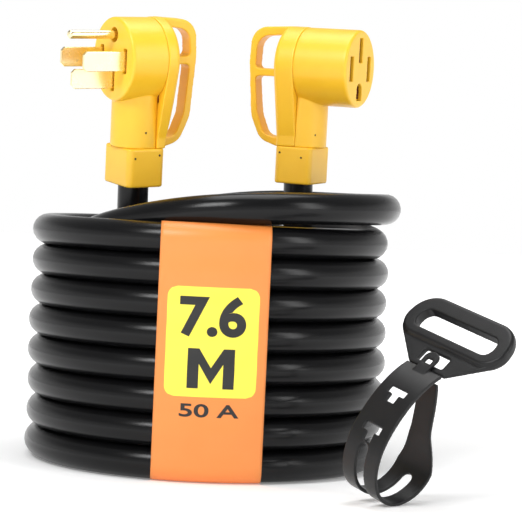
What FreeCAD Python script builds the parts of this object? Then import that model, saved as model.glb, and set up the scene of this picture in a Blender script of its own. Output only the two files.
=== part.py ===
"""Shore power cord: coiled cable, right-angle plug and connector with grips, band and organizer strap."""
import FreeCAD, Part
import math
import os

V = FreeCAD.Vector

# cable and coil
CABLE_D = 23.0
COIL_R = 124.7
PITCH = 22.7
LEVELS = 8

# heads: x is the face's direction, z runs up from the strain relief's underside
PLUG = dict(at=(-62.0, -20.0, 208.0), turn=210.0, lean=9.0, high=94.0, radius=31.0,
            face=21.5, seam=-8.5, rear=-19.0, crimp=-11.8, axis=0.0, reach=27.5, bar=-0.5)
CONN = dict(at=(67.5, 50.0, 215.0), turn=-28.0, lean=4.5, high=92.0, radius=30.2,
            face=48.0, seam=3.6, rear=-13.5, crimp=-1.9, axis=2.5, reach=31.0, bar=-6.5)
COLLAR = (31.0, 39.0, 29.0)
NECK_R = 18.6
LOOP_WIDE = 13.0
LOOP_BAR = 5.0
LINE_Y = 17.5
GROUND_Z = 18.0
NEUTRAL_Z = 14.5
BLADE = (34.0, 14.5, 2.4)
PIN_L = 38.0
PIN_R = 3.2
SLOT = (3.4, 9.6)
WIRE_R = 3.0

# band round the stack
BAND_W = 79.0
BAND_T = 0.5
BAND_AZ = 269.3

# organizer strap
STRAP_W = 33.0
STRAP_T = 2.4
STRAP_AT = (95.2, -207.6)
STRAP_WAY = (0.59, -0.77, -0.236)
STRAP_UP = (0.640, 0.300, 0.700)
STRAP_LOOP = [(17.5, 81.0), (20.9, 65.0), (20.3, 48.0), (15.5, 28.0), (6.9, 12.3), (-4.2, 3.1),
              (-16.1, 0.0), (-29.5, 4.6), (-38.8, 18.0), (-39.8, 32.5), (-33.0, 45.0),
              (-21.0, 54.0), (-7.0, 66.5), (9.0, 78.5)]

# cable routes in the coil's frame
TOP_ROUTE = [(113.7, 41.4, 176), (68.8, 82.0, 170), (18.1, 102.4, 160), (-35.6, 97.7, 154),
             (-79.7, 66.8, 154), (-98.4, 18.1, 159), (-96.0, -34.0, 168), (-70.0, -78.0, 179),
             (-24.0, -112.0, 190), (30.0, -126.0, 195), (88.0, -99.0, 196.4),
             (126.0, -52.0, 197.3), (134.0, 14.0, 197.5), (118.0, 66.0, 197.0), (92.0, 90.5, 197), (50.5, 108.0, 197),
             (1.5, 110.0, 191), (-34.0, 92.0, 181), (-66.0, 50.0, 157), (-92.0, 2.0, 133),
             (-84.0, -44.0, 112), (-46.0, -76.0, 90), (4.0, -88.0, 73), (50.0, -74.0, 62),
             (83.0, -40.0, 62), (91.0, 4.0, 76), (84.0, 38.0, 108), (67.5, 54.8, 156),
             (67.5, 46.9, 254.9)]
LOW_ROUTE = [(-62.0, -26.3, 247.5), (-62.0, -10.6, 148.7), (-57.0, -20.0, 92.0),
             (-42.0, -47.0, 40.0), (-2.0, -75.0, 13.0), (46.0, -77.0, 11.5), (86.0, -46.0, 11.5),
             (104.0, 4.0, 11.5), (90.0, 56.0, 11.5)]


def box(x0, x1, y0, y1, z0, z1):
    return Part.makeBox(x1 - x0, y1 - y0, z1 - z0, V(x0, y0, z0))


def cyl(r, h, at, way):
    return Part.makeCylinder(r, h, V(*at), V(*way))


def fillet(shape, r, test):
    edges = [e for e in shape.Edges if test(e)]
    return shape.makeFillet(r, edges)


def prism(points, y0, y1):
    """A polygon in the x, z plane, drawn out along y."""
    wire = Part.makePolygon([V(x, y0, z) for x, z in points + points[:1]])
    return Part.Face(wire).extrude(V(0, y1 - y0, 0))


def route_wire(points):
    """Straight runs with tangent arcs at the corners."""
    pts = [V(*p) for p in points]
    edges = []
    start = pts[0]
    radii = []
    for a, b, c in zip(pts, pts[1:], pts[2:]):
        u = (a - b)
        w = (c - b)
        cut = 0.45 * min(u.Length, w.Length)
        u.normalize()
        w.normalize()
        half = (math.pi - u.getAngle(w)) / 2
        mid = u + w
        mid.normalize()
        radius = cut / math.tan(half)
        radii.append(radius)
        p = b + u * cut
        q = b + w * cut
        top = b + mid * (radius / math.cos(half) - radius)
        edges.append(Part.LineSegment(start, p).toShape())
        edges.append(Part.Arc(p, top, q).toShape())
        start = q
    edges.append(Part.LineSegment(start, pts[-1]).toShape())
    return Part.Wire(edges), radii


def tube(points, r, label=""):
    wire, radii = route_wire(points)
    way = V(*points[1]) - V(*points[0])
    ring = Part.Wire([Part.Circle(V(*points[0]), way, r).toShape()])
    solid = wire.makePipeShell([ring], True, False)
    length = wire.Length
    if label:
        print(label, "length", round(length, 1), "tightest radius", round(min(radii), 1),
              "volume ratio", round(solid.Volume / (math.pi * r * r * length), 3))
    return solid


def coil():
    """One solid of the stack's outer shape, turn on turn."""
    r = CABLE_D / 2
    half = PITCH / 2
    reach = math.sqrt(r * r - half * half)
    edges = []
    top = r + (LEVELS - 1) * PITCH
    for k in range(LEVELS):
        z = r + k * PITCH
        low = V(COIL_R + reach, 0, z - half) if k else V(COIL_R, 0, 0)
        high = V(COIL_R + reach, 0, z + half) if k < LEVELS - 1 else V(COIL_R, 0, top + r)
        edges.append(Part.Arc(low, V(COIL_R + r, 0, z), high).toShape())
    for k in reversed(range(LEVELS)):
        z = r + k * PITCH
        low = V(COIL_R - reach, 0, z - half) if k else V(COIL_R, 0, 0)
        high = V(COIL_R - reach, 0, z + half) if k < LEVELS - 1 else V(COIL_R, 0, top + r)
        edges.append(Part.Arc(high, V(COIL_R - r, 0, z), low).toShape())
    return Part.Face(Part.Wire(edges)).revolve(V(0, 0, 0), V(0, 0, 1), 360)


def band_ring(grow):
    """The band's thin closed loop in the radial plane, turned through its width."""
    r = CABLE_D / 2
    t = BAND_T + grow
    gap = -grow
    top = 2 * r + (LEVELS - 1) * PITCH
    shapes = []
    for off, up, low in ((t, t, 0.0), (gap, gap, BAND_T + grow)):
        x0 = COIL_R - r - off
        x1 = COIL_R + r + off
        zt = top + up
        outer = box(x0, x1, -0.5, 0.5, low, zt)
        outer = fillet(outer, r - 0.6 + off, lambda e: abs(e.tangentAt(e.FirstParameter).y) > 0.9)
        shapes.append(outer.Faces)
    faces = []
    for group in shapes:
        flat = [f for f in group if abs(f.CenterOfMass.y + 0.5) < 1e-6][0]
        faces.append(flat)
    loop = faces[0].translated(V(0, 0.5, 0)).cut(faces[1].translated(V(0, 0.5, 0)))
    sweep = math.degrees(BAND_W / (COIL_R + r))
    solid = loop.Faces[0].revolve(V(0, 0, 0), V(0, 0, 1), sweep)
    solid.rotate(V(0, 0, 0), V(0, 0, 1), BAND_AZ - sweep / 2)
    return solid


def collar(axis):
    a, b, h = COLLAR
    s = box(axis - a / 2, axis + a / 2, -b / 2, b / 2, 0, h)
    s = fillet(s, 4.5, lambda e: abs(e.tangentAt(e.FirstParameter).z) > 0.9)
    return s.makeFillet(1.2, [e for e in s.Edges if abs(e.BoundBox.ZMax - e.BoundBox.ZMin) < 0.1])


def front_body(h):
    """Round barrel on a round neck, in front of the seam."""
    seam, face, high, rad = h["seam"], h["face"], h["high"], h["radius"]
    barrel = cyl(rad, face - seam - 0.1, (seam + 0.1, 0, high), (1, 0, 0))
    barrel = fillet(barrel, 2.2, lambda e: e.BoundBox.XMin > face - 0.01)
    neck = cyl(NECK_R, high - COLLAR[2], (h["axis"], 0, COLLAR[2]), (0, 0, 1))
    neck = neck.common(box(seam + 0.1, 60, -30, 30, 0, high))
    return barrel.fuse(neck).removeSplitter()


def shell_outline(h):
    """The rear shell seen along the face's direction, as a solid from seam to rear."""
    seam, rear, high, rad = h["seam"], h["rear"], h["high"], h["radius"] + 0.4
    low = COLLAR[2]
    side = V(NECK_R + 0.4, 0, low + 8 - high)
    touch = math.atan2(side.z, side.x) + math.acos(rad / side.Length)
    ty = rad * math.cos(touch)
    tz = high + rad * math.sin(touch)
    pts = [V(seam, ty, tz), V(seam, 0, high + rad), V(seam, -ty, tz)]
    edges = [Part.Arc(*pts).toShape(),
             Part.LineSegment(V(seam, -ty, tz), V(seam, -NECK_R - 0.4, low + 8)).toShape(),
             Part.LineSegment(V(seam, -NECK_R - 0.4, low + 8), V(seam, -NECK_R - 0.4, low)).toShape(),
             Part.LineSegment(V(seam, -NECK_R - 0.4, low), V(seam, NECK_R + 0.4, low)).toShape(),
             Part.LineSegment(V(seam, NECK_R + 0.4, low), V(seam, NECK_R + 0.4, low + 8)).toShape(),
             Part.LineSegment(V(seam, NECK_R + 0.4, low + 8), V(seam, ty, tz)).toShape()]
    solid = Part.Face(Part.Wire(edges)).extrude(V(rear - seam, 0, 0))
    solid = fillet(solid, 4.0, lambda e: e.BoundBox.XMax < rear + 0.01 and e.CenterOfMass.z > low + 1)
    back = h["axis"] - COLLAR[0] / 2
    cut = prism([(rear - 5, high - 24), (rear, high - 24), (back, low + 2), (back, low - 5),
                 (rear - 5, low - 5)], -40, 40)
    return solid.cut(cut)


def rounded(points, y0, y1):
    """A polygon in x, z with a radius at each corner, drawn out along y. Items are (x, z, r)."""
    n = len(points)
    edges = []
    joins = []
    for i in range(n):
        a = V(points[i - 1][0], y0, points[i - 1][1])
        b = V(points[i][0], y0, points[i][1])
        c = V(points[(i + 1) % n][0], y0, points[(i + 1) % n][1])
        shorter = min((a - b).Length, (c - b).Length)
        u = (a - b).normalize()
        w = (c - b).normalize()
        half = (math.pi - u.getAngle(w)) / 2
        cut = min(points[i][2] * math.tan(half), 0.47 * shorter)
        r = cut / math.tan(half)
        mid = (u + w).normalize()
        joins.append((b + u * cut, b + mid * (r / math.cos(half) - r), b + w * cut))
    for i in range(n):
        p, m, q = joins[i]
        edges.append(Part.Arc(p, m, q).toShape())
        nxt = joins[(i + 1) % n][0]
        edges.append(Part.LineSegment(q, nxt).toShape())
    return Part.Face(Part.Wire(edges)).extrude(V(0, y1 - y0, 0))


def rear_grip(h):
    """Rear shell with the grip loop behind it."""
    rear, high, rad = h["rear"], h["high"], h["radius"]
    out = rear - h["reach"]
    low = COLLAR[2]
    back = h["axis"] - COLLAR[0] / 2
    half = LOOP_WIDE / 2
    bar = LOOP_BAR
    rung = high + h["bar"]
    loop = rounded([(rear + 6, high + rad + 0.4, 2), (out + 1.5, high + rad - 1.5, 17),
                    (out, high + 2, 30), (out + 3.5, low + 22, 22), (out + 12, low + 3.5, 14),
                    (back - 2, low - 2, 6), (back + 5, low + 2, 1.5)], -half, half)
    up = rounded([(rear + 0.5, high + rad - bar - 1.5, 5), (out + bar + 1.5, high + rad - bar - 3.5, 11),
                  (out + bar + 0.3, rung + 3, 3.5), (rear - 0.8, rung + 3, 3.5)], -30, 30)
    down = rounded([(rear - 0.8, rung - 3, 3.5), (out + bar + 0.5, rung - 3, 3.5),
                    (out + bar + 3.8, low + 24, 18), (out + bar + 10.5, low + 8, 8),
                    (back - 2.5, low + 5, 3), (back - 1.5, low + 15, 6)], -30, 30)
    loop = loop.cut(up).cut(down).cut(box(back, 60, -40, 40, -10, low))
    return shell_outline(h).fuse(loop).removeSplitter()


def wires(h, spots):
    """Four insulated conductors from the jacket's end to the crimp barrels."""
    xb = h["crimp"]
    high = h["high"]
    starts = [(0.0, -5.2), (0.0, 5.2), (-5.2, 0.0), (5.2, 0.0)]
    rows = [-11.4, 11.4, -1.0, 1.0]
    out = []
    for i, (y, z) in enumerate(spots):
        sx, sy = starts[i]
        side = math.copysign(1.0, rows[i])
        pts = [(sx, sy, 40.0), (sx, sy, 46.0), (xb, rows[i], high - 30.0)]
        if z < high - 5:
            pts[2] = (xb, 3.1 * side, high - 31.0)
            pts += [(xb, 0.0, z - 6.0), (xb, 0.0, z + 3.0)]
        elif abs(y) < 1:
            pts[2] = (xb, 5.0 * side, high - 30.0)
            pts += [(xb, 8.6 * side, high - 16.0), (xb, 8.0 * side, high - 2.0), (xb, 0.0, z - 6.0),
                    (xb, 0.0, z + 3.0)]
        else:
            pts += [(xb, y, z - 8.0), (xb, y, z + 3.0)]
        out.append(tube(pts, WIRE_R))
    return out


def spots_of(sign):
    """Contact places (y, offset from the head's centre): two lines, ground, neutral."""
    return [(-LINE_Y, 0.0), (LINE_Y, 0.0), (0.0, sign * GROUND_Z), (0.0, -sign * NEUTRAL_Z)]


def barrels(h, spots):
    xb = h["crimp"]
    made = [cyl(WIRE_R + 0.9, 7.0, (xb, y, z - 3.5), (0, 0, 1)) for y, z in spots]
    return made[0].fuse(made[1:])


def blade(h, y, z):
    length, wide, thick = BLADE
    x0 = h["crimp"] + WIRE_R + 0.9
    x1 = h["face"] + length
    s = box(x0, x1, y - thick / 2, y + thick / 2, z - wide / 2, z + wide / 2)
    s = s.makeChamfer(2.6, [e for e in s.Edges if e.BoundBox.XMin > x1 - 0.01
                            and e.BoundBox.YLength > thick - 0.01])
    return s.makeFillet(0.5, [e for e in s.Edges if e.BoundBox.XLength > 20])


def ground_pin(h, z):
    x0 = h["crimp"] + WIRE_R + 0.9
    step = h["face"] + 1.0
    s = cyl(PIN_R, PIN_L - 1.0, (step, 0, z), (1, 0, 0))
    s = fillet(s, 2.4, lambda e: e.BoundBox.XMin > step + 1.0)
    return s.fuse(cyl(PIN_R - 0.4, step - x0, (x0, 0, z), (1, 0, 0)))


def cavity(h, end):
    """Hollow for the conductors, their barrels and the inner block."""
    x, high = h["crimp"], h["high"]
    back = x - 4.3
    room = cyl(24.0, end - back, (back, 0, high), (1, 0, 0))
    row = box(x - 4.0, x + 6.2, -14.8, 14.8, 45.0, high)
    row = row.fuse(box(x - 4.0, h["seam"] + 0.05, -17.2, 17.2, high - 31.0, high))
    bore = cyl(CABLE_D / 2, high + 1, (0, 0, -1), (0, 0, 1))
    return room.fuse([row, bore]).removeSplitter()


def plug_parts():
    h = PLUG
    high = h["high"]
    spots = [(y, high + z) for y, z in spots_of(1)]
    cord_in = cyl(CABLE_D / 2, 41, (0, 0, -1), (0, 0, 1))
    wire = wires(h, spots)
    crimp = barrels(h, spots)
    blades = [blade(h, y, z) for y, z in (spots[0], spots[1], spots[3])]
    pin = ground_pin(h, spots[2][1])
    stop = h["crimp"] + 17.2
    carrier = cyl(24.0, 12.0, (stop - 12.0, 0, high), (1, 0, 0))
    for s in blades + [pin]:
        carrier = carrier.cut(s)
    front = front_body(h)
    for y, z in (spots[0], spots[1], spots[3]):
        front = front.cut(box(stop - 1, h["face"] + 1, y - 2.6, y + 2.6, z - 9.0, z + 9.0))
    front = front.cut(cyl(5.4, 30, (stop - 1, 0, spots[2][1]), (1, 0, 0)))
    front = front.cut(cyl(0.6, 2, (h["axis"] + 6, -16.9, COLLAR[2] + 17), (0.2, 1, 0)))
    hollow = cavity(h, stop)
    for s in [hollow, pin] + blades:
        front = front.cut(s)
    grip = rear_grip(h).cut(hollow)
    relief = collar(0).cut(cord_in)
    relief = relief.cut(cyl(0.6, 2, (h["axis"] + 7, -18.6, 22), (0, 1, 0)))
    relief = relief.cut(cyl(0.6, 2, (h["axis"] - 10, -18.6, 24), (0, 1, 0)))
    out = {"plug_front_body": front, "plug_rear_grip": grip, "plug_strain_relief": relief,
           "plug_blade_carrier": carrier, "plug_line_blade_left": blades[0],
           "plug_line_blade_right": blades[1], "plug_neutral_blade": blades[2],
           "plug_ground_pin": pin, "plug_crimp_barrels": crimp}
    crimped = crimp
    for name, s in zip(("line_black", "line_red", "ground_green", "neutral_white"), wire):
        crimped = crimped.cut(s)
        out["plug_wire_" + name] = s
    out["plug_crimp_barrels"] = crimped
    return out


def clip(h, y, z):
    """A folded contact: two leaves joined at the back, with a tail to its crimp barrel."""
    x1 = h["face"] - 5.0
    x0 = x1 - 24.0
    s = box(x0, x1, y - 2.4, y + 2.4, z - 7.5, z + 7.5)
    s = s.cut(box(x0 + 1.0, x1 + 1, y - 1.5, y + 1.5, z - 8, z + 8))
    tail = box(h["crimp"] + WIRE_R + 0.9, x0, y - 0.8, y + 0.8, z - 3.5, z + 3.5)
    return s.fuse(tail).removeSplitter()


def ground_sleeve(h, z):
    x1 = h["face"] - 5.0
    x0 = x1 - 24.0
    s = cyl(4.6, 24.0, (x0, 0, z), (1, 0, 0)).cut(cyl(3.6, 24.0, (x0 + 1.0, 0, z), (1, 0, 0)))
    s = s.cut(box(x0 + 3, x1 + 1, -0.6, 0.6, z, z + 6))
    tail = box(h["crimp"] + WIRE_R + 0.9, x0, -0.8, 0.8, z - 3.5, z + 3.5)
    return s.fuse(tail).removeSplitter()


def ground_hole(x0, x1, z):
    """Round-topped opening for the ground pin."""
    low = box(x0, x1, -5.2, 5.2, z - 6.5, z + 1.5)
    return low.fuse(cyl(5.2, x1 - x0, (x0, 0, z + 1.5), (1, 0, 0)))


def connector_parts():
    h = CONN
    high = h["high"]
    face = h["face"]
    spots = [(y, high + z) for y, z in spots_of(-1)]
    lines = (spots[0], spots[1], spots[3])
    cord_in = cyl(CABLE_D / 2, 41, (0, 0, -1), (0, 0, 1))
    wire = wires(h, spots)
    crimp = barrels(h, spots)
    clips = [clip(h, y, z) for y, z in lines]
    sleeve = ground_sleeve(h, spots[2][1])
    start = h["crimp"] + 5.2
    carrier = cyl(24.0, face - 3.0 - start, (start, 0, high), (1, 0, 0))
    hollow = cavity(h, face - 3.0)
    front = front_body(h)
    for y, z in lines:
        pocket = box(face - 30.0, face - 2, y - 2.5, y + 2.5, z - 9.0, z + 9.0)
        carrier = carrier.cut(pocket)
        front = front.cut(box(face - 4, face + 1, y - SLOT[0], y + SLOT[0], z - SLOT[1], z + SLOT[1]))
    hole = ground_hole(face - 4, face + 1, spots[2][1])
    carrier = carrier.cut(cyl(4.7, 28, (face - 30.0, 0, spots[2][1]), (1, 0, 0)))
    carrier = carrier.cut(ground_hole(face - 5.0, face - 2, spots[2][1]))
    front = front.cut(hole)
    front = front.cut(cyl(0.6, 2, (h["axis"] + 6, -17.0, COLLAR[2] + 10), (0, 1, 0)))
    for s in clips + [sleeve]:
        carrier = carrier.cut(s)
    front = front.cut(hollow)
    grip = rear_grip(h).cut(hollow)
    relief = collar(h["axis"]).cut(cord_in)
    relief = relief.cut(cyl(0.6, 2, (h["axis"] + 7, -18.6, 20), (0, 1, 0)))
    relief = relief.cut(cyl(0.6, 2, (h["axis"] - 10, -18.6, 24), (0, 1, 0)))
    out = {"connector_front_body": front, "connector_rear_grip": grip,
           "connector_strain_relief": relief, "connector_contact_carrier": carrier,
           "connector_line_contact_left": clips[0], "connector_line_contact_right": clips[1],
           "connector_neutral_contact": clips[2], "connector_ground_contact": sleeve}
    crimped = crimp
    for name, s in zip(("line_black", "line_red", "ground_green", "neutral_white"), wire):
        crimped = crimped.cut(s)
        out["connector_wire_" + name] = s
    out["connector_crimp_barrels"] = crimped
    return out


def placed(parts, h):
    for s in parts.values():
        s.rotate(V(0, 0, 0), V(0, 0, 1), h["turn"])
        s.rotate(V(0, 0, 0), V(1, 0, 0), h["lean"])
        s.translate(V(*h["at"]))
    return parts


def strap_frame():
    w = V(*STRAP_WAY).normalize()
    v = V(*STRAP_UP)
    v = (v - w * v.dot(w)).normalize()
    u = w.cross(v)
    return u, v, w


def strap_parts():
    """Looped strap and its handle, drawn in u, v (side view) and w (width)."""
    curve = Part.BSplineCurve()
    curve.interpolate([V(u, 0, v) for u, v in STRAP_LOOP])
    t = STRAP_T
    inner = [V(u, 0, v) for u, v in STRAP_LOOP]
    n = len(inner)
    outer = []
    for i, p in enumerate(inner):
        a = inner[max(i - 1, 0)]
        b = inner[min(i + 1, n - 1)]
        d = (b - a).normalize()
        outer.append(p + V(-d.z, 0, d.x) * t)
    far = Part.BSplineCurve()
    far.interpolate(outer)
    caps = [Part.LineSegment(inner[0], outer[0]).toShape(), Part.LineSegment(inner[-1], outer[-1]).toShape()]
    face = Part.Face(Part.Wire(Part.__sortEdges__([curve.toShape(), far.toShape()] + caps)))
    half = STRAP_W / 2
    loop = face.extrude(V(0, STRAP_W, 0)).translated(V(0, -half, 0))
    for side in (-1, 1):
        shoulder = [(9.0 * side, 98, 1), (9.0 * side, 57, 12), (17.5 * side, 37, 1), (30 * side, 37, 1),
                    (30 * side, 98, 1)]
        loop = loop.cut(flat(shoulder[::side], -50, 14.3))
    loop = loop.cut(flat([(-4.5, -8, 2), (-4.5, 33, 4.4), (4.5, 33, 4.4), (4.5, -8, 2)], -60, -26))
    loop = loop.cut(flat([(-4.5, -8, 2), (-4.5, 17, 4.4), (4.5, 17, 4.4), (4.5, -8, 2)], -27, 14))
    for v in (56.0, 27.0):
        loop = loop.cut(box(3, 40, -8.0, 8.0, v - 2.6, v + 2.6))
        loop = loop.cut(box(3, 40, -3.6, 3.6, v - 9, v))
    top = STRAP_LOOP[0][1]
    uc = STRAP_LOOP[0][0]
    lug = flat([(-5, top - 10, 1), (-6.5, top + 14, 6.4), (6.5, top + 14, 6.4), (5, top - 10, 1)],
               uc + 1.9, uc + 4.1)
    lug = lug.cut(flat([(-3, top + 3, 1), (-3, top + 8, 1), (3, top + 8, 1), (3, top + 3, 1)],
                       uc, uc + 6))
    return loop, handle_shape(uc, top), lug


def handle_shape(uc, top):
    """Flat plate with a thick rimmed grip slot and a window near its foot."""
    base = top + 1.3
    pts = [(-16.5, base, 1.5), (-47, base + 24, 12), (-44, base + 53, 19), (44, base + 53, 19),
           (47, base + 24, 12), (16.5, base, 1.5)]
    plate = flat(pts, uc - 1.9, uc + 1.6)
    rim = flat([(-49.5, base + 18, 16), (-44.5, base + 53.5, 19), (44.5, base + 53.5, 19),
                (49.5, base + 18, 16)], uc - 4.4, uc + 4.1)
    rim = rim.makeFillet(2.6, [e for e in rim.Edges if e.BoundBox.XLength < 0.1])
    slot = flat([(-37, base + 25.5, 7.4), (-36, base + 41.5, 7.4), (36, base + 41.5, 7.4),
                 (37, base + 25.5, 7.4)], uc - 20, uc + 20)
    window = flat([(-12, base + 4, 1.5), (-12, base + 14, 1.5), (12, base + 14, 1.5),
                   (12, base + 4, 1.5)], uc - 20, uc + 20)
    return plate.fuse(rim).cut(slot).cut(window).removeSplitter()


def flat(points, u0, u1):
    """A rounded polygon given as (w, v, r), standing between two u values."""
    s = rounded(points, 0, u1 - u0)
    s.rotate(V(0, 0, 0), V(0, 0, 1), -90)
    s.translate(V(u0, 0, 0))
    return s


def to_world(shape, frame, lift):
    u, v, w = frame
    m = FreeCAD.Matrix(u.x, w.x, v.x, STRAP_AT[0], u.y, w.y, v.y, STRAP_AT[1],
                       u.z, w.z, v.z, lift, 0, 0, 0, 1)
    return shape.transformed(m)


def hinge_at(lift, shift):
    """Where the strap's neck bends, in the row's frame."""
    u, v, w = strap_frame()
    return V(STRAP_AT[0], STRAP_AT[1], lift) + u * STRAP_LOOP[0][0] + v * (STRAP_LOOP[0][1] + 0.6) + shift


def build():
    parts = {}
    ring = coil()
    ring = ring.cut(band_ring(0.05))
    parts["cord_coil"] = ring
    parts["cord_top_turn"] = tube(TOP_ROUTE, CABLE_D / 2, "top")
    parts["cord_plug_end"] = tube(LOW_ROUTE, CABLE_D / 2, "low")
    parts["label_band"] = band_ring(0.0)
    parts.update(placed(plug_parts(), PLUG))
    parts.update(placed(connector_parts(), CONN))
    loop, handle, lug = strap_parts()
    frame = strap_frame()
    strap = loop.fuse(lug).removeSplitter()
    strap = to_world(strap, frame, 0)
    handle = to_world(handle, frame, 0)
    low = min(strap.optimalBoundingBox().ZMin, handle.optimalBoundingBox().ZMin)
    strap.translate(V(0, 0, -low))
    handle.translate(V(0, 0, -low))
    parts["strap_band"] = strap
    parts["strap_handle"] = handle
    return parts, -low


def main():
    parts, lift = build()
    whole = FreeCAD.BoundBox()
    for s in parts.values():
        whole.add(s.optimalBoundingBox())
    shift = V(-whole.Center.x, -whole.Center.y, -whole.ZMin)
    print("shift", shift, "size", whole.XLength, whole.YLength, whole.ZLength)
    print("strap frame", strap_frame(), "hinge", hinge_at(lift, shift))
    os.makedirs("parts", exist_ok=True)
    for name, s in parts.items():
        s.translate(shift)
        print(name, s.ShapeType, len(s.Solids), s.isValid(), round(s.Volume))
        s.exportStep("parts/" + name + ".step")


main()
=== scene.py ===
"""Looks of the coiled shore power cord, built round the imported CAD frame."""

import math

import bmesh
import bpy
from mathutils import Matrix, Vector


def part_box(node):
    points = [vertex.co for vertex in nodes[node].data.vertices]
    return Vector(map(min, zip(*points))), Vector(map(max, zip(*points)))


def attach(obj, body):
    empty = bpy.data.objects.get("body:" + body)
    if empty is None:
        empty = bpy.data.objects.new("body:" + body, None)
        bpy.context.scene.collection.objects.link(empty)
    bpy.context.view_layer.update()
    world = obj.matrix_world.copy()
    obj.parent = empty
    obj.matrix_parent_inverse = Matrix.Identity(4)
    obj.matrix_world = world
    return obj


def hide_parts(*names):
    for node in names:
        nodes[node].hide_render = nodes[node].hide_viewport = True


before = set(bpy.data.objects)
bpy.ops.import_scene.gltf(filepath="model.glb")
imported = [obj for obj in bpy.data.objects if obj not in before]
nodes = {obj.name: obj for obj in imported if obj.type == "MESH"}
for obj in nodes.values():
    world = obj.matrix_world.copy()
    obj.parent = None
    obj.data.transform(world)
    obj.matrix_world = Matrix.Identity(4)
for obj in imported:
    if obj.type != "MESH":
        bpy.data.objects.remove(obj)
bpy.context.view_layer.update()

CABLE_D = 0.023
COIL_R = 0.1247
PITCH = 0.0227
LEVELS = 8
REST_GAP = 0.0007       # the coil's lowest turn above the ground
BAND_W = 0.079
BAND_AZ = 269.3         # the middle of the band round the coil, in degrees
BAND_OFF = 0.0003       # the band above the cable
BAND_RIPPLE = 0.00055   # how far the band dips between two turns
PATCH_LIFT = 0.00022
INK_LIFT = 0.00038
LO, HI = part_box("cord_coil")
AX = (LO[0] + HI[0]) / 2
AY = (LO[1] + HI[1]) / 2

TOP_ROUTE = [(.1137, .0414, .176), (.0688, .0820, .170), (.0181, .1024, .160), (-.0356, .0977, .154),
             (-.0797, .0668, .154), (-.0984, .0181, .159), (-.0960, -.0340, .168),
             (-.0700, -.0780, .179), (-.0240, -.1120, .190), (.0300, -.1260, .195),
             (.0880, -.0990, .1964), (.1260, -.0520, .1973), (.1340, .0140, .1975), (.1180, .0660, .197),
             (.0920, .0905, .197), (.0505, .1080, .197), (.0015, .1100, .191), (-.0340, .0920, .181),
             (-.0660, .0500, .157), (-.0920, .0020, .133), (-.0840, -.0440, .112),
             (-.0460, -.0760, .090), (.0040, -.0880, .073), (.0500, -.0740, .062),
             (.0830, -.0400, .062), (.0910, .0040, .076), (.0840, .0380, .108), (.0675, .0548, .156),
             (.0675, .0469, .2549)]
LOW_ROUTE = [(-.0620, -.0263, .2475), (-.0620, -.0106, .1487), (-.0570, -.0200, .092),
             (-.0420, -.0470, .040), (-.0020, -.0750, .0140), (.0460, -.0770, .0122),
             (.0860, -.0460, .0122), (.1080, .0040, .0122), (.0980, .0500, .0122)]

# heads: place of the strain relief's underside in the coil's frame, turn and lean in degrees
PLUG = ((-.0620, -.0200, .2080), 210.0, 9.0)
CONN = ((.0675, .0500, .2150), -28.0, 4.5)
PINHOLES = {"plug": (PLUG, [(.0015, .0186, .0410), (.0100, .0195, .0220), (-.0105, .0195, .0240)]),
            "connector": (CONN, [(.0174, -.0111, .0390), (-.0083, -.0195, .0240), (.0101, -.0195, .0210)])}


# ---------------------------------------------------------------- camera and cord

def camera():
    data = bpy.data.cameras.new("camera")
    obj = bpy.data.objects.new("camera", data)
    bpy.context.scene.collection.objects.link(obj)
    data.sensor_width = 36.0
    data.lens = 135.27
    data.clip_end = 20
    yaw = math.radians(-3.519)
    pitch = math.radians(2.069)
    roll = math.radians(2.659)
    obj.location = (AX - 0.054, AY - 1.500, 0.2077)
    turn = Matrix.Rotation(yaw, 4, "Z") @ Matrix.Rotation(math.pi / 2 - pitch, 4, "X")
    turn = turn @ Matrix.Rotation(roll, 4, "Z")
    obj.rotation_euler = turn.to_euler()
    bpy.context.scene.camera = obj


def coil_points():
    """Control points of the wound turns: level all round, then up one turn's thickness at the back."""
    per = 24
    ring = COIL_R / math.cos(math.pi / per)
    pts = []
    first = 62.0
    last = 360.0 * LEVELS - 6.0
    n = int((last - first) / (360.0 / per))
    for i in range(n + 1):
        a = first + i * 360.0 / per
        rise = 0.0
        for k in range(1, LEVELS):
            s = (a - 360.0 * k - 4.0) / 72.0
            s = min(1.0, max(0.0, s))
            rise += s * s * (3 - 2 * s)
        wob = 0.0006 * math.sin(a * 0.031 + 1.0) + 0.0004 * math.sin(a * 0.0173)
        r = ring + wob
        t = math.radians(a)
        z = CABLE_D / 2 + REST_GAP + PITCH * rise
        pts.append((r * math.cos(t), r * math.sin(t), z))
    return pts


def cord():
    route = LOW_ROUTE + coil_points() + TOP_ROUTE
    pts = [Vector((x + AX, y + AY, z)) for x, y, z in route]
    curve = bpy.data.curves.new("power_cord", "CURVE")
    curve.dimensions = "3D"
    line = curve.splines.new("NURBS")
    line.points.add(len(pts) - 1)
    for p, q in zip(line.points, pts):
        p.co = (q.x, q.y, q.z, 1.0)
    line.order_u = 3
    line.use_endpoint_u = True
    line.resolution_u = 10
    curve.bevel_depth = CABLE_D / 2
    curve.bevel_resolution = 8
    curve.use_fill_caps = True
    obj = bpy.data.objects.new("power_cord", curve)
    bpy.context.scene.collection.objects.link(obj)
    return obj


# ---------------------------------------------------------------- materials

def new_material(name):
    m = bpy.data.materials.new(name)
    m.use_nodes = True
    tree = m.node_tree
    return m, tree, tree.nodes["Principled BSDF"]


def add(tree, kind, **values):
    node = tree.nodes.new(kind)
    for k, v in values.items():
        if k in node.inputs:
            node.inputs[k].default_value = v
        else:
            setattr(node, k, v)
    return node


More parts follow.
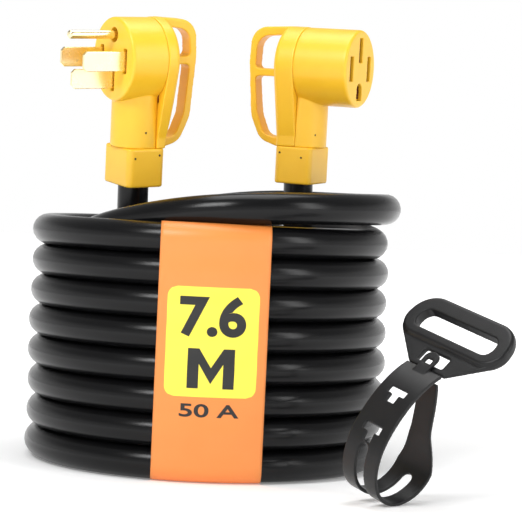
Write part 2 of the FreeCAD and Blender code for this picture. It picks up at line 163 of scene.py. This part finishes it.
def moulded(name, low, high, rough, bump, scale, coat=0.0, subsurface=0.0, shine=0.5):
    """Moulded plastic: slow colour drift, fine grain in the gloss and the surface."""
    m, tree, bsdf = new_material(name)
    where = add(tree, "ShaderNodeTexCoord")
    slow = add(tree, "ShaderNodeTexNoise", Scale=scale * 0.05, Detail=3.0)
    fine = add(tree, "ShaderNodeTexNoise", Scale=scale, Detail=6.0)
    tree.links.new(where.outputs["Object"], slow.inputs["Vector"])
    tree.links.new(where.outputs["Object"], fine.inputs["Vector"])
    ramp = add(tree, "ShaderNodeMix", data_type="RGBA")
    ramp.inputs[6].default_value = (*low, 1)
    ramp.inputs[7].default_value = (*high, 1)
    tree.links.new(slow.outputs["Fac"], ramp.inputs[0])
    tree.links.new(ramp.outputs[2], bsdf.inputs["Base Color"])
    span = add(tree, "ShaderNodeMapRange")
    span.inputs["To Min"].default_value = rough[0]
    span.inputs["To Max"].default_value = rough[1]
    tree.links.new(fine.outputs["Fac"], span.inputs["Value"])
    tree.links.new(span.outputs["Result"], bsdf.inputs["Roughness"])
    b = add(tree, "ShaderNodeBump", Strength=bump, Distance=0.0004)
    tree.links.new(fine.outputs["Fac"], b.inputs["Height"])
    tree.links.new(b.outputs["Normal"], bsdf.inputs["Normal"])
    bsdf.inputs["Specular IOR Level"].default_value = shine
    bsdf.inputs["Coat Weight"].default_value = coat
    bsdf.inputs["Coat Roughness"].default_value = 0.25
    if subsurface:
        bsdf.inputs["Subsurface Weight"].default_value = subsurface
        bsdf.inputs["Subsurface Radius"].default_value = (0.004, 0.002, 0.0006)
        bsdf.inputs["Subsurface Scale"].default_value = 0.5
    return m


def metal(name, low, high, rough, scale):
    m, tree, bsdf = new_material(name)
    where = add(tree, "ShaderNodeTexCoord")
    noise = add(tree, "ShaderNodeTexNoise", Scale=scale, Detail=5.0)
    tree.links.new(where.outputs["Object"], noise.inputs["Vector"])
    mix = add(tree, "ShaderNodeMix", data_type="RGBA")
    mix.inputs[6].default_value = (*low, 1)
    mix.inputs[7].default_value = (*high, 1)
    tree.links.new(noise.outputs["Fac"], mix.inputs[0])
    tree.links.new(mix.outputs[2], bsdf.inputs["Base Color"])
    span = add(tree, "ShaderNodeMapRange")
    span.inputs["To Min"].default_value = rough[0]
    span.inputs["To Max"].default_value = rough[1]
    tree.links.new(noise.outputs["Fac"], span.inputs["Value"])
    tree.links.new(span.outputs["Result"], bsdf.inputs["Roughness"])
    bsdf.inputs["Metallic"].default_value = 1.0
    return m


JACKET = moulded("jacket_black", (.0025, .0025, .0028), (.0045, .0045, .005), (.18, .27), .10, 900,
                 shine=.24)
YELLOW = moulded("moulded_yellow", (.90, .50, .018), (.95, .56, .026), (.34, .44), .08, 1400,
                 coat=.10, subsurface=.06)
CARRIER = moulded("carrier_dark", (.10, .012, .006), (.14, .018, .008), (.45, .6), .2, 1500)
BLACK = moulded("strap_black", (.006, .006, .0065), (.012, .012, .0125), (.26, .36), .30, 2200,
                shine=.30)
ORANGE = moulded("band_orange", (.84, .255, .05), (.88, .285, .062), (.38, .48), .10, 700, coat=.08)
PATCH = moulded("patch_yellow", (.95, .80, .07), (.98, .86, .09), (.38, .48), .05, 700)
INK = moulded("ink_black", (.012, .012, .012), (.018, .018, .018), (.4, .5), .05, 900)
BRASS = metal("brass", (.90, .78, .46), (.94, .83, .54), (.24, .30), 90)
COPPER = metal("copper", (.70, .40, .22), (.80, .50, .30), (.25, .4), 300)
# painted shade: the dark colour of the pinhole caps stands in for the shade inside each hole
HOLE_SHADE = moulded("pinhole_painted_shade", (.05, .02, .002), (.07, .03, .003), (.6, .7), .1, 900)
WIRES = {"black": moulded("wire_black", (.02,) * 3, (.03,) * 3, (.4, .5), .1, 900),
         "red": moulded("wire_red", (.5, .02, .015), (.6, .03, .02), (.4, .5), .1, 900),
         "green": moulded("wire_green", (.015, .25, .05), (.02, .3, .07), (.4, .5), .1, 900),
         "white": moulded("wire_white", (.75, .74, .7), (.8, .79, .76), (.4, .5), .1, 900)}


def paint(obj, material):
    obj.data.materials.clear()
    obj.data.materials.append(material)
    return obj


def node_material(name):
    if "wire_" in name:
        return WIRES[name.rsplit("_", 1)[1]]
    if "crimp" in name:
        return COPPER
    if "carrier" in name:
        return CARRIER
    if any(k in name for k in ("blade", "pin", "contact")):
        return BRASS
    if name.startswith("strap"):
        return BLACK
    if name.startswith("cord"):
        return JACKET
    if name == "label_band":
        return ORANGE
    return YELLOW


# ---------------------------------------------------------------- softened copies

def softened(name, voxel, rounds, faces):
    """A copy of a CAD node with its edges rounded as moulding leaves them."""
    src = nodes[name]
    obj = src.copy()
    obj.data = src.data.copy()
    obj.name = name + "_soft"
    bpy.context.scene.collection.objects.link(obj)
    obj.hide_render = False
    obj.hide_viewport = False
    obj.parent = None
    obj.matrix_world = src.matrix_world
    weld = obj.modifiers.new("weld", "WELD")
    weld.merge_threshold = 0.00001
    mesh = obj.modifiers.new("remesh", "REMESH")
    mesh.mode = "VOXEL"
    mesh.voxel_size = voxel
    smooth = obj.modifiers.new("smooth", "SMOOTH")
    smooth.factor = 0.5
    smooth.iterations = rounds
    thin = obj.modifiers.new("decimate", "DECIMATE")
    thin.ratio = 1.0
    deps = bpy.context.evaluated_depsgraph_get()
    count = len(obj.evaluated_get(deps).data.polygons)
    thin.ratio = min(1.0, faces / max(1, count))
    deps = bpy.context.evaluated_depsgraph_get()
    made = bpy.data.meshes.new_from_object(obj.evaluated_get(deps))
    obj.modifiers.clear()
    obj.data = made
    for p in made.polygons:
        p.use_smooth = True
    for k in list(obj.keys()):
        del obj[k]
    paint(obj, node_material(name))
    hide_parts(name)
    return obj


def mesh_object(name, verts, faces, material):
    mesh = bpy.data.meshes.new(name)
    mesh.from_pydata(verts, [], faces)
    mesh.update()
    obj = bpy.data.objects.new(name, mesh)
    bpy.context.scene.collection.objects.link(obj)
    mesh.materials.append(material)
    for p in mesh.polygons:
        p.use_smooth = True
    return obj


def head_frame(head):
    at, turn, lean = head
    spin = Matrix.Rotation(math.radians(lean), 4, "X") @ Matrix.Rotation(math.radians(turn), 4, "Z")
    return Matrix.Translation((AX + at[0], AY + at[1], at[2])) @ spin


def pinholes(name, head, spots):
    """Vent dots left by the mould, as small dark caps sunk in the surface; their dark colour is painted
    shade for the inside of each hole.
    """
    bm = bmesh.new()
    for x, y, z in spots:
        place = Matrix.Translation((x, y, z)) @ Matrix.Scale(0.35, 4, (0, 1, 0))
        bmesh.ops.create_icosphere(bm, subdivisions=3, radius=0.00085, matrix=head_frame(head) @ place)
    mesh = bpy.data.meshes.new(name)
    bm.to_mesh(mesh)
    bm.free()
    obj = bpy.data.objects.new(name, mesh)
    bpy.context.scene.collection.objects.link(obj)
    return paint(obj, HOLE_SHADE)


# ---------------------------------------------------------------- label band

def band_dip(z):
    """How far the band lies in from its outermost at height z."""
    low = CABLE_D / 2 + REST_GAP
    return BAND_RIPPLE * (0.5 - 0.5 * math.cos(2 * math.pi * (z - low) / PITCH))


def band_path():
    """Outside line of the band in the radial plane, as (distance from the axis, height)."""
    r = CABLE_D / 2 + BAND_OFF
    top = CABLE_D + (LEVELS - 1) * PITCH + REST_GAP
    line = []
    low = CABLE_D / 2 + REST_GAP
    steps = 120
    for i in range(steps + 1):
        z = low + (top - CABLE_D) * i / steps
        line.append((COIL_R + r - band_dip(z), z))
    for i in range(1, 16):
        a = math.pi * i / 16
        line.append((COIL_R + r * math.cos(a), top - CABLE_D / 2 + r * math.sin(a)))
    for i in range(steps // 2 + 1):
        z = top - CABLE_D / 2 - (top - CABLE_D) * i / (steps // 2)
        line.append((COIL_R - r, z))
    for i in range(1, 16):
        a = math.pi + math.pi * i / 16
        line.append((COIL_R + r * math.cos(a), max(low + r * math.sin(a), 0.0004)))
    return line


def band():
    cols = 36
    line = band_path()
    n = len(line)
    verts = []
    faces = []
    for j in range(cols + 1):
        u = BAND_W * (j / cols - 0.5)
        for rad, z in line:
            a = math.radians(BAND_AZ) + u / rad
            verts.append((AX + rad * math.cos(a), AY + rad * math.sin(a), z))
    for j in range(cols):
        for i in range(n):
            k = (i + 1) % n
            faces.append((j * n + i, (j + 1) * n + i, (j + 1) * n + k, j * n + k))
    obj = mesh_object("label_band_film", verts, faces, ORANGE)
    solid = obj.modifiers.new("thick", "SOLIDIFY")
    solid.thickness = 0.0003
    solid.offset = 0.0
    return obj


def on_band(u, z, lift):
    """Wraps (u along the band's width, z) onto the band's front."""
    rad = COIL_R + CABLE_D / 2 + BAND_OFF - band_dip(z) + lift
    a = math.radians(BAND_AZ) + u / (COIL_R + CABLE_D / 2)
    return Vector((AX + rad * math.cos(a), AY + rad * math.sin(a), z))


def patch(u0, u1, z0, z1, r):
    """The printed panel: a rounded rectangle laid on the band."""
    nu, nz = 40, 60
    verts = []
    faces = []
    rows = []
    for j in range(nz + 1):
        z = z0 + (z1 - z0) * j / nz
        dz = max(z0 + r - z, z - (z1 - r), 0)
        pull = r - math.sqrt(max(0.0, r * r - dz * dz))
        rows.append((z, u0 + pull, u1 - pull))
    for z, a, b in rows:
        for i in range(nu + 1):
            verts.append(on_band(a + (b - a) * i / nu, z, PATCH_LIFT))
    for j in range(nz):
        for i in range(nu):
            p = j * (nu + 1) + i
            faces.append((p, p + 1, p + nu + 2, p + nu + 1))
    return mesh_object("label_panel", verts, faces, PATCH)


def typed(text, fat):
    """Plain text as a flat mesh."""
    data = bpy.data.curves.new(text, "FONT")
    data.body = text
    data.size = 1.0
    data.offset = fat
    data.resolution_u = 8
    obj = bpy.data.objects.new(text, data)
    bpy.context.scene.collection.objects.link(obj)
    deps = bpy.context.evaluated_depsgraph_get()
    mesh = bpy.data.meshes.new_from_object(obj.evaluated_get(deps))
    bpy.data.objects.remove(obj)
    return mesh


def heavy_m():
    """A heavy letter M as four flat bars."""
    mesh = bpy.data.meshes.new("M")
    verts = [(0, 0), (.24, 0), (.24, 1), (0, 1), (.76, 0), (1, 0), (1, 1), (.76, 1),
             (.24, .62), (.24, 1), (.5, .52), (.5, .12), (.76, .62), (.76, 1)]
    mesh.from_pydata([(x, y, 0) for x, y in verts], [],
                     [(0, 1, 2, 3), (4, 5, 6, 7), (8, 11, 10, 9), (11, 12, 13, 10)])
    return mesh


def lettering(mesh, u, z, height, width, name):
    """Ink on the band: a flat mesh cut fine and wrapped round it."""
    xs = [v.co.x for v in mesh.vertices]
    ys = [v.co.y for v in mesh.vertices]
    cx, cy = (min(xs) + max(xs)) / 2, (min(ys) + max(ys)) / 2
    sx, sy = width / (max(xs) - min(xs)), height / (max(ys) - min(ys))
    bm = bmesh.new()
    bm.from_mesh(mesh)
    for v in bm.verts:
        v.co = Vector((u + (v.co.x - cx) * sx, z + (v.co.y - cy) * sy, 0))
    for k in range(-40, 41):
        at = u + k * 0.0018
        bmesh.ops.bisect_plane(bm, geom=bm.verts[:] + bm.edges[:] + bm.faces[:], plane_co=(at, 0, 0),
                               plane_no=(1, 0, 0))
    k = 0
    while k * 0.0025 < 0.2:
        bmesh.ops.bisect_plane(bm, geom=bm.verts[:] + bm.edges[:] + bm.faces[:],
                               plane_co=(0, k * 0.0025, 0), plane_no=(0, 1, 0))
        k += 1
    for v in bm.verts:
        v.co = on_band(v.co.x, v.co.y, INK_LIFT)
    bm.to_mesh(mesh)
    bm.free()
    out = bpy.data.objects.new(name, mesh)
    bpy.context.scene.collection.objects.link(out)
    mesh.materials.clear()
    mesh.materials.append(INK)
    return out


# ---------------------------------------------------------------- stage and light

def area(name, at, size, power, look):
    data = bpy.data.lights.new(name, "AREA")
    data.shape = "RECTANGLE"
    data.size, data.size_y = size
    data.energy = power
    obj = bpy.data.objects.new(name, data)
    bpy.context.scene.collection.objects.link(obj)
    obj.location = at
    obj.rotation_euler = (Vector(look) - Vector(at)).to_track_quat("-Z", "Y").to_euler()


def stage():
    m, tree, bsdf = new_material("floor")
    bsdf.inputs["Base Color"].default_value = (.95, .95, .95, 1)
    bsdf.inputs["Roughness"].default_value = 0.8
    bsdf.inputs["Specular IOR Level"].default_value = 0.2
    bsdf.inputs["Emission Color"].default_value = (1, 1, 1, 1)
    where = add(tree, "ShaderNodeTexCoord")
    far = add(tree, "ShaderNodeVectorMath", operation="LENGTH")
    glow = add(tree, "ShaderNodeMapRange")
    glow.inputs["From Min"].default_value = 0.25
    glow.inputs["From Max"].default_value = 1.3
    glow.inputs["To Min"].default_value = 0.18
    glow.inputs["To Max"].default_value = 0.9
    tree.links.new(where.outputs["Object"], far.inputs[0])
    tree.links.new(far.outputs["Value"], glow.inputs["Value"])
    tree.links.new(glow.outputs["Result"], bsdf.inputs["Emission Strength"])
    s = 6.0
    floor = mesh_object("floor", [(-s, -s, 0), (s, -s, 0), (s, s, 0), (-s, s, 0)], [(0, 1, 2, 3)], m)
    sky()
    area("key", (-0.75, -1.0, 1.15), (0.55, 0.55), 13, (AX, AY, 0.12))
    area("fill", (1.25, -0.9, 0.75), (0.35, 1.0), 6, (AX, AY, 0.12))
    area("top", (0.0, 0.15, 1.4), (0.9, 0.9), 9, (AX, AY, 0.1))
    bpy.context.scene.view_settings.view_transform = "Standard"
    bpy.context.scene.view_settings.look = "None"


def sky():
    """White all round near the horizon, dimmer overhead, so that black gloss stays black."""
    world = bpy.data.worlds.new("world")
    world.use_nodes = True
    tree = world.node_tree
    back = tree.nodes["Background"]
    where = add(tree, "ShaderNodeTexCoord")
    split = add(tree, "ShaderNodeSeparateXYZ")
    ramp = add(tree, "ShaderNodeMapRange")
    ramp.inputs["From Min"].default_value = 0.17
    ramp.inputs["From Max"].default_value = 0.40
    ramp.inputs["To Min"].default_value = 1.0
    ramp.inputs["To Max"].default_value = 0.35
    tree.links.new(where.outputs["Generated"], split.inputs["Vector"])
    tree.links.new(split.outputs["Z"], ramp.inputs["Value"])
    tree.links.new(ramp.outputs["Result"], back.inputs["Strength"])
    back.inputs["Color"].default_value = (1, 1, 1, 1)
    bpy.context.scene.world = world


# ---------------------------------------------------------------- assembly

camera()
rope = paint(cord(), JACKET)
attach(rope, "cord")
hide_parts("cord_coil", "cord_top_turn", "cord_plug_end")

SOFT = {"plug_front_body": (.0005, 5, 60000), "plug_rear_grip": (.0006, 8, 50000),
        "plug_strain_relief": (.0007, 5, 16000), "connector_front_body": (.0005, 5, 60000),
        "connector_rear_grip": (.0006, 8, 50000), "connector_strain_relief": (.0007, 5, 16000),
        "strap_band": (.0004, 4, 30000), "strap_handle": (.0005, 6, 30000)}
for name, (voxel, rounds, faces) in SOFT.items():
    piece = softened(name, voxel, rounds, faces)
    if name.startswith("strap"):
        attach(piece, "strap_handle" if name == "strap_handle" else "strap")
    else:
        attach(piece, "cord")
for name, obj in nodes.items():
    if name not in SOFT and not name.startswith("cord"):
        paint(obj, node_material(name))
for name, (head, spots) in PINHOLES.items():
    dots = pinholes(name + "_pinholes", head, spots)
    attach(dots, "cord")

film = band()
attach(film, "cord")
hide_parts("label_band")
panel = patch(-0.0325, 0.0325, 0.0615, 0.1385, 0.007)
marks = [lettering(typed("7.6", 0.035), 0.0, 0.1180, 0.0290, 0.047, "label_number"),
         lettering(heavy_m(), 0.0, 0.0815, 0.0280, 0.033, "label_unit"),
         lettering(typed("50 A", 0.02), 0.0, 0.0520, 0.0095, 0.042, "label_rating")]
for piece in [panel] + marks:
    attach(piece, "cord")

stage()
